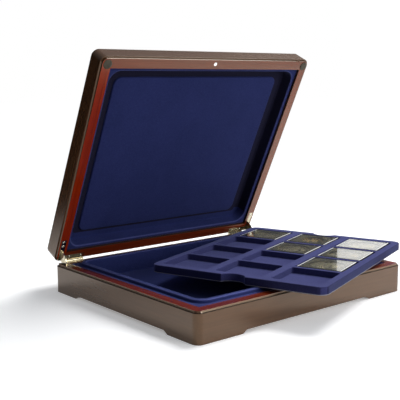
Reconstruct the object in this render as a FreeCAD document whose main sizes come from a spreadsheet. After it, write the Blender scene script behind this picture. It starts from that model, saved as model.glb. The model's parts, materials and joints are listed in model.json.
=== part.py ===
import FreeCAD, Part
import Sketcher
import math
import os
import re

# Coin case with a hinged lid and one lift-out tray, in millimetres and degrees.
# X runs along the hinge, +Y points to the hinge, +Z is up.
# The origin is the middle of the plane that the feet stand on.

SIZES = {
    # Compartments of the tray
    "cell_room": 2.25,
    "cell_depth": 6.6,
    "cell_corner": 2.0,
    "column_ridge": 10.6,
    "row_ridge": 5.0,
    "side_margin": 9.15,
    "end_margin": 11.0,
    "tray_height": 8.4,
    "tray_corner": 10.0,
    "tray_round": 0.9,
    "notch_width": 28.0,
    "notch_depth": 8.5,
    # Place of the tray, laid askew across the open mouth
    "tray_x": 52.0,
    "tray_y": -38.5,
    "tray_yaw": -70.0,
    "seat_gap": 0.1,
    # Raised lip of the base lining and the well inside it
    "well_clearance": 3.0,
    "lip_width": 6.5,
    "lip_rise": 3.6,
    "lip_round": 2.4,
    "lip_corner": 16.0,
    "flange_width": 4.8,
    "flange_sink": 0.4,
    "well_taper": 1.5,
    "lining_floor": 1.2,
    "lining_gap": 0.2,
    # Wooden frames
    "wall": 13.0,
    "case_corner": 8.0,
    "base_height": 32.6,
    "lid_height": 21.2,
    "rim_gap": 1.0,
    "rebate_inset": 2.0,
    "rebate_height": 2.2,
    "lid_round": 1.6,
    "open_angle": 65.0,
    # Bracket feet
    "foot_height": 3.5,
    "side_foot": 45.0,
    "front_foot": 58.0,
    "foot_slope": 6.0,
    # Panels held by the frames
    "panel_thickness": 4.0,
    "panel_lift": 8.8,
    "groove_depth": 5.0,
    "panel_gap": 0.15,
    "lid_panel_thickness": 3.6,
    "rabbet_inset": 6.0,
    # Lining and pad of the lid
    "lid_flange_sink": 3.0,
    "lip_clearance": 0.8,
    "recess_corner": 14.0,
    "recess_round": 1.4,
    "recess_taper": 6.0,
    "lid_lining_floor": 1.0,
    "pad_side_inset": 33.0,
    "pad_end_inset": 30.0,
    "pad_thickness": 2.6,
    "pad_corner": 9.0,
    "pad_round": 1.3,
    # Bumpers and catch magnets
    "bumper_diameter": 10.5,
    "bumper_inset": 8.3,
    "bumper_gap": 0.1,
    "magnet_diameter": 5.0,
    "magnet_thickness": 2.5,
    "magnet_inset": 7.0,
    # Corner hinges
    "leaf_thickness": 1.2,
    "leaf_inset": 4.0,
    "leaf_width": 6.0,
    "side_leg": 30.0,
    "back_leg": 39.0,
    "leaf_gap": 0.1,
    "knuckle_radius": 1.8,
    "knuckle_start": 14.0,
    "knuckle_length": 7.8,
    "knuckle_gap": 0.3,
    "pin_radius": 0.9,
    "pin_gap": 0.08,
    "quadrant_inset": 6.5,
    "quadrant_thickness": 1.2,
    "quadrant_radius": 15.0,
    "quadrant_setback": 2.8,
    "quadrant_gap": 0.3,
    "tab_radius": 17.5,
    "tab_angle": 7.0,
    "stop_angle": 7.8,
    "tang_start": 5.0,
    "tang_length": 7.0,
    # Countersunk screws
    "screw_radius": 0.8,
    "screw_length": 8.0,
    "head_radius": 1.7,
    "head_height": 0.9,
    "slot_width": 0.4,
    "slot_depth": 0.4,
    "first_screw": 21.5,
    "second_screw": 27.0,
    "third_screw": 19.0,
    "fourth_screw": 34.0,
    # Square coin capsules
    "capsule_side": 50.0,
    "capsule_corner": 1.6,
    "capsule_wall": 2.5,
    "capsule_floor": 1.0,
    "capsule_base_height": 3.2,
    "capsule_cover_height": 3.05,
    "tongue_width": 0.9,
    "tongue_height": 0.5,
    "tongue_gap": 0.1,
    "capsule_gap": 0.05,
    "insert_gap": 0.2,
    "insert_corner": 0.8,
    # Coins
    "coin_diameter": 37.0,
    "small_coin_diameter": 28.0,
    "coin_thickness": 2.8,
    "coin_gap": 0.3,
    "coin_rim": 1.4,
    "coin_relief": 0.25,
    "petal_share": 0.62,
}

COLUMNS = 3
ROWS = 4
PETALS = 8

# Cells that hold a capsule: name, column from the hinge side, row from the left, coin size
CAPSULES = [
    ("1", 0, 3, "coin_diameter"),
    ("2", 1, 3, "small_coin_diameter"),
    ("3", 1, 2, "coin_diameter"),
    ("4", 2, 3, "coin_diameter"),
    ("5", 2, 2, "coin_diameter"),
    ("6", 2, 1, "coin_diameter"),
]

# Sizes that follow from the ones above
DERIVED = {
    "cell_side": "capsule_side + 2 * cell_room",
    "column_pitch": "cell_side + column_ridge",
    "row_pitch": "cell_side + row_ridge",
    "tray_width": f"2 * side_margin + {COLUMNS} * cell_side + {COLUMNS - 1} * column_ridge",
    "tray_length": f"2 * end_margin + {ROWS} * cell_side + {ROWS - 1} * row_ridge",
    "lip_inset": "wall + lining_gap + flange_width",
    "lip_inner_inset": "lip_inset + lip_width",
    "case_length": "tray_length + 2 * (well_clearance + lip_inner_inset)",
    "case_depth": "tray_width + 2 * (well_clearance + lip_inner_inset)",
    "back_face": "case_depth / 2",
    "left_face": "-case_length / 2",
    "panel_top": "panel_lift + panel_thickness",
    "flange_top": "base_height - flange_sink",
    "crest": "base_height + lip_rise",
    "lid_rim": "base_height + rim_gap",
    "lid_top": "lid_rim + lid_height",
    "lid_panel_base": "lid_top - lid_panel_thickness",
    "lid_flange": "lid_rim + lid_flange_sink",
    "recess_floor": "lid_panel_base - lid_lining_floor",
    "recess_inset": "lip_inset - lip_clearance",
    "pin_height": "base_height + rim_gap / 2",
    "swing_y": "back_face - back_face * cos(open_angle) - pin_height * sin(open_angle)",
    "swing_z": "pin_height + back_face * sin(open_angle) - pin_height * cos(open_angle)",
    "rebate_wall": "back_face - rebate_inset",
    "quadrant_side": "left_face + quadrant_inset",
    "quadrant_back": "back_face - quadrant_setback",
    "slot_reach": "tab_radius + quadrant_gap",
    "insert_height": "capsule_base_height + capsule_cover_height - 2 * capsule_floor - 3 * capsule_gap",
    "tray_base": "crest + seat_gap",
    "capsule_base": "tray_base + tray_height - cell_depth + seat_gap",
}

X_AXIS = FreeCAD.Vector(1, 0, 0)
Z_AXIS = FreeCAD.Vector(0, 0, 1)
# Turns a primitive's axis from +Z to +X and its own X to the front
ALONG_X = FreeCAD.Rotation(FreeCAD.Vector(0, -1, 0), FreeCAD.Vector(0, 0, -1), X_AXIS, "ZXY")
UPRIGHT = FreeCAD.Rotation(X_AXIS, 90)
UPSIDE_DOWN = FreeCAD.Rotation(X_AXIS, 180)

# A sketch starts near its final shape, and its constraints then set the real sizes
START_HALF = 60.0
START_RADIUS = 2.0

doc = FreeCAD.newDocument("coin_case")
sheet = doc.addObject("Spreadsheet::Sheet", "sizes")
for row, (alias, number) in enumerate(SIZES.items(), start=1):
    sheet.set(f"A{row}", alias)
    sheet.set(f"B{row}", str(number))
    sheet.setAlias(f"B{row}", alias)
doc.recompute()

nodes = []


# Writes a formula of named sizes as an expression on the spreadsheet
def formula(text):
    def replace(match):
        word = match.group(0)
        if word in DERIVED:
            return "(" + formula(DERIVED[word]) + ")"
        if word in SIZES:
            return "sizes." + word
        return word
    return re.sub(r"[a-z][a-z_]*", replace, text)


def bind(target, **expressions):
    for name, text in expressions.items():
        target.setExpression(name, formula(text))
    return target


def place(target, x="0", y="0", z="0", rotation=None):
    if rotation:
        target.Placement = FreeCAD.Placement(FreeCAD.Vector(), rotation)
    target.setExpression(".Placement.Base.x", formula(x))
    target.setExpression(".Placement.Base.y", formula(y))
    target.setExpression(".Placement.Base.z", formula(z))
    return target


# Marks an object as a piece of the case that gets a file of its own
def piece(target, label):
    target.Label = label
    nodes.append(target)
    return target


# Lid pieces are drawn with the lid shut and swing back about the hinge pin
def swing(target):
    target.Placement = FreeCAD.Placement(FreeCAD.Vector(), FreeCAD.Rotation(X_AXIS, -1))
    target.setExpression(".Placement.Base.y", formula("swing_y"))
    target.setExpression(".Placement.Base.z", formula("swing_z"))
    target.setExpression(".Placement.Rotation.Angle", formula("-open_angle"))
    return target


# Tray pieces are drawn about the tray's middle, u across and v along it
def on_tray(target, u, v, z):
    target.Placement = FreeCAD.Placement(FreeCAD.Vector(), FreeCAD.Rotation(Z_AXIS, -1))
    place(target,
          f"tray_x + ({u}) * cos(tray_yaw) - ({v}) * sin(tray_yaw)",
          f"tray_y + ({u}) * sin(tray_yaw) + ({v}) * cos(tray_yaw)", z)
    target.setExpression(".Placement.Rotation.Angle", formula("tray_yaw"))
    return target


def box(name, x, y, z, length, width, height):
    solid = doc.addObject("Part::Box", name)
    bind(solid, Length=length, Width=width, Height=height)
    return place(solid, x, y, z)


def cylinder(name, x, y, z, radius, height, rotation=None):
    solid = doc.addObject("Part::Cylinder", name)
    bind(solid, Radius=radius, Height=height)
    return place(solid, x, y, z, rotation)


def fuse(name, shapes):
    result = doc.addObject("Part::MultiFuse", name)
    result.Shapes = shapes
    return result


def cut(name, base, tool):
    result = doc.addObject("Part::Cut", name)
    result.Base = base
    result.Tool = tool
    return result


def common(name, base, tool):
    result = doc.addObject("Part::Common", name)
    result.Base = base
    result.Tool = tool
    return result


def group(name, shapes):
    result = doc.addObject("Part::Compound", name)
    result.Links = shapes
    return result


def mirror(name, source):
    result = doc.addObject("Part::Mirroring", name)
    result.Source = source
    result.Normal = X_AXIS
    return result


# Prism that narrows from one pair of half widths to another
def wedge(name, low, high, half, top_half, bottom, top, rotation=None):
    solid = doc.addObject("Part::Wedge", name)
    bind(solid, Ymin=low, Ymax=high, Xmin=f"-({half})", Xmax=half, X2min=f"-({top_half})",
         X2max=top_half, Zmin=bottom, Z2min=bottom, Zmax=top, Z2max=top)
    return place(solid, rotation=rotation)


def new_body(name):
    return doc.addObject("PartDesign::Body", name)


def new_sketch(body, name, height):
    sketch = body.newObject("Sketcher::SketchObject", name)
    plane = [item for item in body.Origin.OriginFeatures if item.Role == "XY_Plane"][0]
    sketch.AttachmentSupport = (plane, [""])
    sketch.MapMode = "FlatFace"
    sketch.setExpression("AttachmentOffset.Base.z", formula(height))
    return sketch


def constrain(sketch, name, text, *items):
    index = sketch.addConstraint(Sketcher.Constraint(*items))
    sketch.renameConstraint(index, name)
    sketch.setExpression(f"Constraints.{name}", formula(text))


# Rectangle about the sketch's origin
def add_rectangle(sketch, name, length, width):
    first = sketch.GeometryCount
    edge = START_HALF
    corners = [(-edge, -edge), (edge, -edge), (edge, edge), (-edge, edge)]
    for start, end in zip(corners, corners[1:] + corners[:1]):
        sketch.addGeometry(Part.LineSegment(FreeCAD.Vector(*start, 0), FreeCAD.Vector(*end, 0)))
    for side in range(4):
        following = first + (side + 1) % 4
        sketch.addConstraint(Sketcher.Constraint("Coincident", first + side, 2, following, 1))
        direction = "Vertical" if side % 2 else "Horizontal"
        sketch.addConstraint(Sketcher.Constraint(direction, first + side))
    sketch.addConstraint(Sketcher.Constraint("Symmetric", first, 1, first + 2, 1, -1, 1))
    constrain(sketch, name + "_length", length, "DistanceX", first, 1, first, 2, 2 * edge)
    constrain(sketch, name + "_width", width, "DistanceY", first + 1, 1, first + 1, 2, 2 * edge)


# Rectangle about the sketch's origin with four equal round corners
def add_rounded(sketch, name, length, width, radius):
    first = sketch.GeometryCount
    edge = START_HALF
    inner = START_HALF - START_RADIUS
    ends = [((-inner, -edge), (inner, -edge)), ((edge, -inner), (edge, inner)),
            ((inner, edge), (-inner, edge)), ((-edge, inner), (-edge, -inner))]
    centres = [(inner, -inner), (inner, inner), (-inner, inner), (-inner, -inner)]
    for side in range(4):
        start, end = ends[side]
        sketch.addGeometry(Part.LineSegment(FreeCAD.Vector(*start, 0), FreeCAD.Vector(*end, 0)))
        circle = Part.Circle(FreeCAD.Vector(*centres[side], 0), Z_AXIS, START_RADIUS)
        quarter = math.pi / 2
        start_angle = (side - 1) * quarter
        sketch.addGeometry(Part.ArcOfCircle(circle, start_angle, start_angle + quarter))
    for side in range(4):
        line = first + 2 * side
        following = first + (2 * side + 2) % 8
        sketch.addConstraint(Sketcher.Constraint("Tangent", line, 2, line + 1, 1))
        sketch.addConstraint(Sketcher.Constraint("Tangent", line + 1, 2, following, 1))
        direction = "Vertical" if side % 2 else "Horizontal"
        sketch.addConstraint(Sketcher.Constraint(direction, line))
        if side:
            sketch.addConstraint(Sketcher.Constraint("Equal", first + 1, line + 1))
    sketch.addConstraint(Sketcher.Constraint("Symmetric", first + 1, 3, first + 5, 3, -1, 1))
    constrain(sketch, name + "_length", length, "DistanceX", first + 6, 1, first + 2, 1, 2 * edge)
    constrain(sketch, name + "_width", width, "DistanceY", first, 1, first + 4, 1, 2 * edge)
    constrain(sketch, name + "_radius", radius, "Radius", first + 1, START_RADIUS)


def rectangle_sketch(body, name, height, length, width):
    sketch = new_sketch(body, name, height)
    add_rectangle(sketch, "outline", length, width)
    return sketch


def rounded_sketch(body, name, height, length, width, radius):
    sketch = new_sketch(body, name, height)
    add_rounded(sketch, "outline", length, width, radius)
    return sketch


def pad(body, name, sketch, length):
    feature = body.newObject("PartDesign::Pad", name)
    feature.Profile = sketch
    return bind(feature, Length=length)


# Cuts down from the sketch, or up when upward is set
def pocket(body, name, sketch, length, upward=False, taper="0"):
    feature = body.newObject("PartDesign::Pocket", name)
    feature.Profile = sketch
    feature.Reversed = upward
    return bind(feature, Length=length, TaperAngle=taper)


# Rounds the edges of a body's last feature that the test picks by their bounds
def round_edges(body, name, radius, picks):
    doc.recompute()
    base = body.Tip
    bounds = base.Shape.BoundBox
    edges = [f"Edge{number}" for number, edge in enumerate(base.Shape.Edges, start=1)
             if picks(edge.BoundBox, bounds)]
    feature = body.newObject("PartDesign::Fillet", name)
    feature.Base = (base, edges)
    return bind(feature, Radius=radius)


FLAT = 1e-4


def at_top(edge, whole):
    return edge.ZMin > whole.ZMax - FLAT


def at_bottom(edge, whole):
    return edge.ZMax < whole.ZMin + FLAT


def on_outline(edge, whole):
    return (edge.XMin < whole.XMin + FLAT or edge.XMax > whole.XMax - FLAT
            or edge.YMin < whole.YMin + FLAT or edge.YMax > whole.YMax - FLAT)


# Four boards cut from one frame along its mitred corners
MITRE_SIDES = [("front", "case_length", "case_depth", 0), ("right", "case_depth", "case_length", 90),
               ("back", "case_length", "case_depth", 180), ("left", "case_depth", "case_length", 270)]


def mitre_boards(prefix, frame, finish):
    for side, along, across, turn in MITRE_SIDES:
        tool = wedge(f"{prefix}_{side}_mitre", f"-{across} / 2 - wall", f"-{across} / 2 + wall",
                     f"{along} / 2 + wall", f"{along} / 2 - wall", "-wall", "2 * lid_top",
                     FreeCAD.Rotation(Z_AXIS, turn))
        finish(piece(common(f"{prefix}_{side}", frame, tool), f"{prefix}_{side}_board"))


# Base frame: four walls on bracket feet with a rebated rim and a groove for the bottom
def make_base_frame(tools):
    body = new_body("base_frame")
    outline = rounded_sketch(body, "base_outline", "0", "case_length", "case_depth", "case_corner")
    pad(body, "base_walls", outline, "base_height")
    inside = rectangle_sketch(body, "base_inside", "base_height",
                              "case_length - 2 * wall", "case_depth - 2 * wall")
    pocket(body, "base_opening", inside, "base_height")
    rebate = rounded_sketch(body, "base_rebate_line", "base_height", "case_length - 2 * rebate_inset",
                            "case_depth - 2 * rebate_inset", "case_corner - rebate_inset")
    add_rectangle(rebate, "clear", "case_length + 2 * wall", "case_depth + 2 * wall")
    pocket(body, "base_rebate", rebate, "rebate_height")
    groove = rectangle_sketch(body, "base_groove_line", "panel_top",
                              "case_length - 2 * (wall - groove_depth)",
                              "case_depth - 2 * (wall - groove_depth)")
    pocket(body, "base_groove", groove, "panel_thickness")
    long_gap = wedge("front_foot_gap", "-foot_height", "foot_height",
                     "case_length / 2 - front_foot + foot_slope", "case_length / 2 - front_foot - foot_slope",
                     "-case_depth", "case_depth", UPRIGHT)
    short_gap = wedge("side_foot_gap", "-foot_height", "foot_height",
                      "case_depth / 2 - side_foot + foot_slope", "case_depth / 2 - side_foot - foot_slope",
                      "-case_length", "case_length", FreeCAD.Rotation(Z_AXIS, 90).multiply(UPRIGHT))
    frame = cut("base_frame_cut", body, fuse("base_frame_tools", [long_gap, short_gap] + tools))
    mitre_boards("base", frame, lambda board: board)


# Lid frame: four walls with a rebated rim, and a rabbet that holds the top panel
def make_lid_frame(tools):
    body = new_body("lid_frame")
    outline = rounded_sketch(body, "lid_outline", "lid_rim", "case_length", "case_depth", "case_corner")
    pad(body, "lid_walls", outline, "lid_height")
    round_edges(body, "lid_soft_edge", "lid_round", at_top)
    inside = rectangle_sketch(body, "lid_inside", "lid_top",
                              "case_length - 2 * wall", "case_depth - 2 * wall")
    pocket(body, "lid_opening", inside, "lid_height")
    rebate = rounded_sketch(body, "lid_rebate_line", "lid_rim", "case_length - 2 * rebate_inset",
                            "case_depth - 2 * rebate_inset", "case_corner - rebate_inset")
    add_rectangle(rebate, "clear", "case_length + 2 * wall", "case_depth + 2 * wall")
    pocket(body, "lid_rebate", rebate, "rebate_height", upward=True)
    rabbet = rectangle_sketch(body, "lid_rabbet_line", "lid_top",
                              "case_length - 2 * rabbet_inset", "case_depth - 2 * rabbet_inset")
    pocket(body, "lid_rabbet", rabbet, "lid_panel_thickness")
    frame = cut("lid_frame_cut", body, fuse("lid_frame_tools", tools))
    mitre_boards("lid", frame, swing)


def make_panels():
    inset = "(wall - groove_depth + panel_gap)"
    bottom = box("bottom_panel", f"left_face + {inset}", f"-back_face + {inset}", "panel_lift",
                 f"case_length - 2 * {inset}", f"case_depth - 2 * {inset}", "panel_thickness")
    piece(bottom, "base_bottom_panel")
    edge = "(rabbet_inset + panel_gap)"
    top = box("top_panel_plate", f"left_face + {edge}", f"-back_face + {edge}", "lid_panel_base",
              f"case_length - 2 * {edge}", f"case_depth - 2 * {edge}", "lid_panel_thickness")
    swing(piece(group("top_panel", [top]), "lid_top_panel"))


# Base lining: a flange level with the rim, a raised lip, and the well
def make_base_lining():
    body = new_body("base_lining")
    block = rectangle_sketch(body, "lining_block_line", "panel_top",
                             "case_length - 2 * (wall + lining_gap)", "case_depth - 2 * (wall + lining_gap)")
    pad(body, "lining_block", block, "flange_top - panel_top")
    lip = rounded_sketch(body, "lip_line", "flange_top", "case_length - 2 * lip_inset",
                         "case_depth - 2 * lip_inset", "lip_corner")
    pad(body, "lip", lip, "crest - flange_top")
    well = rounded_sketch(body, "well_line", "crest", "case_length - 2 * lip_inner_inset",
                          "case_depth - 2 * lip_inner_inset", "lip_corner - lip_width")
    pocket(body, "well", well, "crest - panel_top - lining_floor", taper="-well_taper")
    round_edges(body, "lip_soft_edge", "lip_round", at_top)
    piece(body, "base_lining")


# Lid lining: a flange sunk below the rim and a recess that takes the top of the trays
def make_lid_lining():
    body = new_body("lid_lining")
    block = rectangle_sketch(body, "lid_block_line", "lid_flange",
                             "case_length - 2 * (wall + lining_gap)", "case_depth - 2 * (wall + lining_gap)")
    pad(body, "lid_block", block, "lid_panel_base - lid_flange")
    recess = rounded_sketch(body, "recess_line", "lid_flange", "case_length - 2 * recess_inset",
                            "case_depth - 2 * recess_inset", "recess_corner")
    pocket(body, "recess", recess, "recess_floor - lid_flange", upward=True, taper="-recess_taper")
    round_edges(body, "recess_soft_edge", "recess_round",
                lambda edge, whole: at_bottom(edge, whole) and not on_outline(edge, whole))
    swing(piece(body, "lid_lining"))
    pad_body = new_body("lid_pad")
    outline = rounded_sketch(pad_body, "pad_line", "recess_floor - pad_thickness",
                             "case_length - 2 * pad_side_inset", "case_depth - 2 * pad_end_inset", "pad_corner")
    pad(pad_body, "pad_block", outline, "pad_thickness")
    round_edges(pad_body, "pad_soft_edge", "pad_round", at_bottom)
    swing(piece(pad_body, "lid_pad"))


# Two bumpers at the front corners of the lid, and a pair of catch magnets between them
def make_bumpers_and_magnets():
    bumper = cylinder("bumper_left_disc", "left_face + bumper_inset", "-back_face + bumper_inset",
                      "base_height + bumper_gap", "bumper_diameter / 2", "rim_gap - bumper_gap")
    left = swing(piece(group("bumper_left", [bumper]), "bumper_left"))
    piece(mirror("bumper_right", left), "bumper_right")
    place_y = "-back_face + magnet_inset"
    base_z = "base_height - magnet_thickness"
    base_magnet = cylinder("base_magnet", "0", place_y, base_z, "magnet_diameter / 2", "magnet_thickness")
    piece(base_magnet, "base_magnet")
    lid_disc = cylinder("lid_magnet_disc", "0", place_y, "lid_rim", "magnet_diameter / 2", "magnet_thickness")
    swing(piece(group("lid_magnet", [lid_disc]), "lid_magnet"))
    return base_magnet, lid_disc


# Places of a hinge leaf's screws, from the left face and from the back face
SCREWS = [("leaf_inset + leaf_width / 2", "first_screw"), ("leaf_inset + leaf_width / 2", "second_screw"),
          ("third_screw", "rebate_inset + leaf_width / 2"), ("fourth_screw", "rebate_inset + leaf_width / 2")]


# Screw with its head level with the rim, the shank down in the base and up in the lid
def make_screw(name, x, y, z, rotation):
    shank = cylinder(name + "_shank", "0", "0", "-screw_length", "screw_radius", "screw_length")
    head = doc.addObject("Part::Cone", name + "_head")
    bind(head, Radius1="screw_radius", Radius2="head_radius", Height="head_height")
    place(head, z="-head_height")
    slot = box(name + "_slot", "-head_radius", "-slot_width / 2", "-slot_depth",
               "2 * head_radius", "slot_width", "2 * slot_depth")
    return place(cut(name, fuse(name + "_solid", [head, shank]), slot), x, y, z, rotation)


def screw_hole(name, x, y, z, rotation):
    head = doc.addObject("Part::Cone", name + "_sink")
    bind(head, Radius1="screw_radius", Radius2="head_radius", Height="head_height")
    place(head, z="-head_height")
    shank = cylinder(name + "_bore", "0", "0", "-screw_length", "screw_radius", "screw_length")
    return place(fuse(name, [head, shank]), x, y, z, rotation)


# The L-shaped plate that is let into the rim: one leg along the side, one along the back
def leaf_plate(name, z, gap):
    side = box(name + "_side", f"left_face + leaf_inset - {gap}", f"back_face - side_leg - {gap}", z,
               f"leaf_width + 2 * {gap}", f"side_leg - rebate_inset + {gap}", "leaf_thickness")
    back = box(name + "_back", f"left_face + leaf_inset - {gap}", f"rebate_wall - leaf_width - {gap}", z,
               f"back_leg - leaf_inset + 2 * {gap}", f"leaf_width + {gap}", "leaf_thickness")
    return fuse(name, [side, back])


def knuckle(name, z, number):
    x = f"left_face + knuckle_start + {number} * (knuckle_length + knuckle_gap)"
    barrel = cylinder(f"{name}_barrel_{number}", x, "back_face", "pin_height", "knuckle_radius",
                      "knuckle_length", ALONG_X)
    web = box(f"{name}_web_{number}", x, "rebate_wall - leaf_thickness", z, "knuckle_length",
              "rebate_inset + leaf_thickness - pin_radius", "leaf_thickness")
    return [barrel, web]


# Sector about the hinge pin, measured down from the shut lid's rim
def sector(name, radius, start, sweep):
    solid = doc.addObject("Part::Cylinder", name)
    bind(solid, Radius=radius, Height="quadrant_thickness", Angle=sweep)
    return place(solid, "quadrant_side", "back_face", "pin_height",
                 FreeCAD.Rotation(X_AXIS, start).multiply(ALONG_X))


# Stop plate on the lid leaf: a quarter disc whose tab catches under the base leaf
def make_quadrant():
    disc = sector("quadrant_disc", "quadrant_radius", 0, "90")
    tab_start = SIZES["open_angle"] + SIZES["stop_angle"]
    tab = sector("quadrant_tab", "tab_radius", tab_start, "2 * tab_angle")
    behind = box("quadrant_trim", "quadrant_side - quadrant_thickness", "quadrant_back",
                 "pin_height - 2 * tab_radius", "3 * quadrant_thickness", "tab_radius", "3 * tab_radius")
    plate = cut("quadrant_plate", fuse("quadrant_sectors", [disc, tab]), behind)
    edge = box("quadrant_edge", "quadrant_side", "back_face - quadrant_radius", "pin_height",
               "quadrant_thickness", "quadrant_radius - quadrant_setback", "rim_gap / 2")
    tang = box("quadrant_tang", "quadrant_side", "back_face - tang_start - tang_length", "pin_height",
               "quadrant_thickness", "tang_length", "rim_gap / 2 + leaf_thickness")
    left = swing(piece(fuse("stop_quadrant_left", [plate, edge, tang]), "stop_quadrant_left"))
    piece(mirror("stop_quadrant_right", left), "stop_quadrant_right")


# Hinges: two leaves, a pin and screws at each back corner
def make_hinges():
    base_z = "base_height - leaf_thickness"
    sides = {"base": (base_z, "base_height", [0, 2], None), "lid": ("lid_rim", "lid_rim", [1], UPSIDE_DOWN)}
    bore = cylinder("pin_bore", "left_face", "back_face", "pin_height", "pin_radius + pin_gap",
                    "2 * back_leg", ALONG_X)
    slot = box("quadrant_slot", "quadrant_side - quadrant_gap", "back_face - quadrant_radius - quadrant_gap",
               base_z, "quadrant_thickness + 2 * quadrant_gap",
               "quadrant_radius - quadrant_setback + 2 * quadrant_gap", "leaf_thickness")
    tang_slot = box("tang_slot", "quadrant_side", "back_face - tang_start - tang_length", "lid_rim",
                    "quadrant_thickness", "tang_length", "leaf_thickness")
    extra = {"base": slot, "lid": tang_slot}
    frame_tools = {}
    for half, (z, face, numbers, rotation) in sides.items():
        plate = leaf_plate(f"{half}_leaf_plate", z, "0")
        knuckles = [solid for number in numbers for solid in knuckle(f"{half}_leaf", z, number)]
        places = [(f"left_face + {x}", f"back_face - ({y})", face, rotation) for x, y in SCREWS]
        holes = [screw_hole(f"{half}_hole_{index}", *spot) for index, spot in enumerate(places)]
        screws = [make_screw(f"{half}_screw_{index}", *spot) for index, spot in enumerate(places)]
        leaf = cut(f"{half}_leaf_left", fuse(f"{half}_leaf_solid", [plate] + knuckles),
                   fuse(f"{half}_leaf_tools", [bore, extra[half]] + holes))
        piece(leaf, f"{half}_leaf_left")
        left_screws = group(f"{half}_screws_left", screws)
        right_screws = mirror(f"{half}_screws_right", left_screws)
        all_screws = piece(group(f"{half}_leaf_screws", [left_screws, right_screws]), f"{half}_leaf_screws")
        if half == "lid":
            swing(leaf)
            swing(all_screws)
        piece(mirror(f"{half}_leaf_right", leaf), f"{half}_leaf_right")
        mortise = leaf_plate(f"{half}_mortise", z, "leaf_gap")
        tools = group(f"{half}_hinge_tools", [fuse(f"{half}_left_tools", [mortise] + holes)])
        frame_tools[half] = [tools]
    pin = cylinder("hinge_pin_left", "left_face + knuckle_start", "back_face", "pin_height", "pin_radius",
                   "3 * knuckle_length + 2 * knuckle_gap", ALONG_X)
    piece(pin, "hinge_pin_left")
    piece(mirror("hinge_pin_right", pin), "hinge_pin_right")
    # Pocket in the mitred corner in which the stop plate turns
    room = cylinder("slot_room", "quadrant_side - quadrant_gap", "back_face", "pin_height",
                    "slot_reach + quadrant_gap", "quadrant_thickness + 2 * quadrant_gap", ALONG_X)
    limit = box("slot_limit", "left_face", "back_face - 2 * slot_reach", "base_height - 2 * slot_reach",
                "2 * wall", "2 * slot_reach - quadrant_setback + quadrant_gap", "2 * slot_reach")
    frame_tools["base"].append(common("slot_pocket", room, limit))
    for half, tools in frame_tools.items():
        frame_tools[half] = tools + [mirror(f"{tool.Name}_right", tool) for tool in tools]
    return frame_tools


# Tray: a plate with cells in columns and rows, and a finger notch at each end
def make_tray():
    body = new_body("tray_shell")
    outline = rounded_sketch(body, "tray_line", "0", "tray_width", "tray_length", "tray_corner")
    pad(body, "tray_plate", outline, "tray_height")
    notch = new_sketch(body, "notch_line", "tray_height")
    radius = "((notch_width / 2) ^ 2 + notch_depth ^ 2) / (2 * notch_depth)"
    for index, (end, sign) in enumerate((("near", -1), ("far", 1))):
        centre = FreeCAD.Vector(0, sign * 2 * START_HALF, 0)
        sketch_circle = Part.Circle(centre, Z_AXIS, START_HALF / 2)
        notch.addGeometry(sketch_circle)
        notch.addConstraint(Sketcher.Constraint("PointOnObject", index, 3, -2))
        constrain(notch, end + "_radius", radius, "Radius", index, START_HALF / 2)
        ends = (index, 3, -1, 1) if sign < 0 else (-1, 1, index, 3)
        constrain(notch, end + "_centre", f"tray_length / 2 + {radius} - notch_depth",
                  "DistanceY", *ends, 2 * START_HALF)
    pocket(body, "notches", notch, "tray_height")
    cells = new_sketch(body, "cell_line", "tray_height")
    add_rounded(cells, "cell", "cell_side", "cell_side", "cell_corner")
    cells.setExpression("AttachmentOffset.Base.x", formula(f"-{(COLUMNS - 1) / 2} * column_pitch"))
    cells.setExpression("AttachmentOffset.Base.y", formula(f"-{(ROWS - 1) / 2} * row_pitch"))
    first_cell = pocket(body, "first_cell", cells, "cell_depth")
    doc.recompute()
    grid = body.newObject("PartDesign::MultiTransform", "cell_grid")
    across = body.newObject("PartDesign::LinearPattern", "cell_columns")
    along = body.newObject("PartDesign::LinearPattern", "cell_rows")
    across.Direction = (cells, ["H_Axis"])
    across.Occurrences = COLUMNS
    bind(across, Length=f"{COLUMNS - 1} * column_pitch")
    along.Direction = (cells, ["V_Axis"])
    along.Occurrences = ROWS
    bind(along, Length=f"{ROWS - 1} * row_pitch")
    grid.Originals = [first_cell]
    grid.Transformations = [across, along]
    body.Tip = grid
    round_edges(body, "tray_soft_edge", "tray_round", at_top)
    on_tray(piece(body, "tray_shell"), "0", "0", "tray_base")


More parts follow.
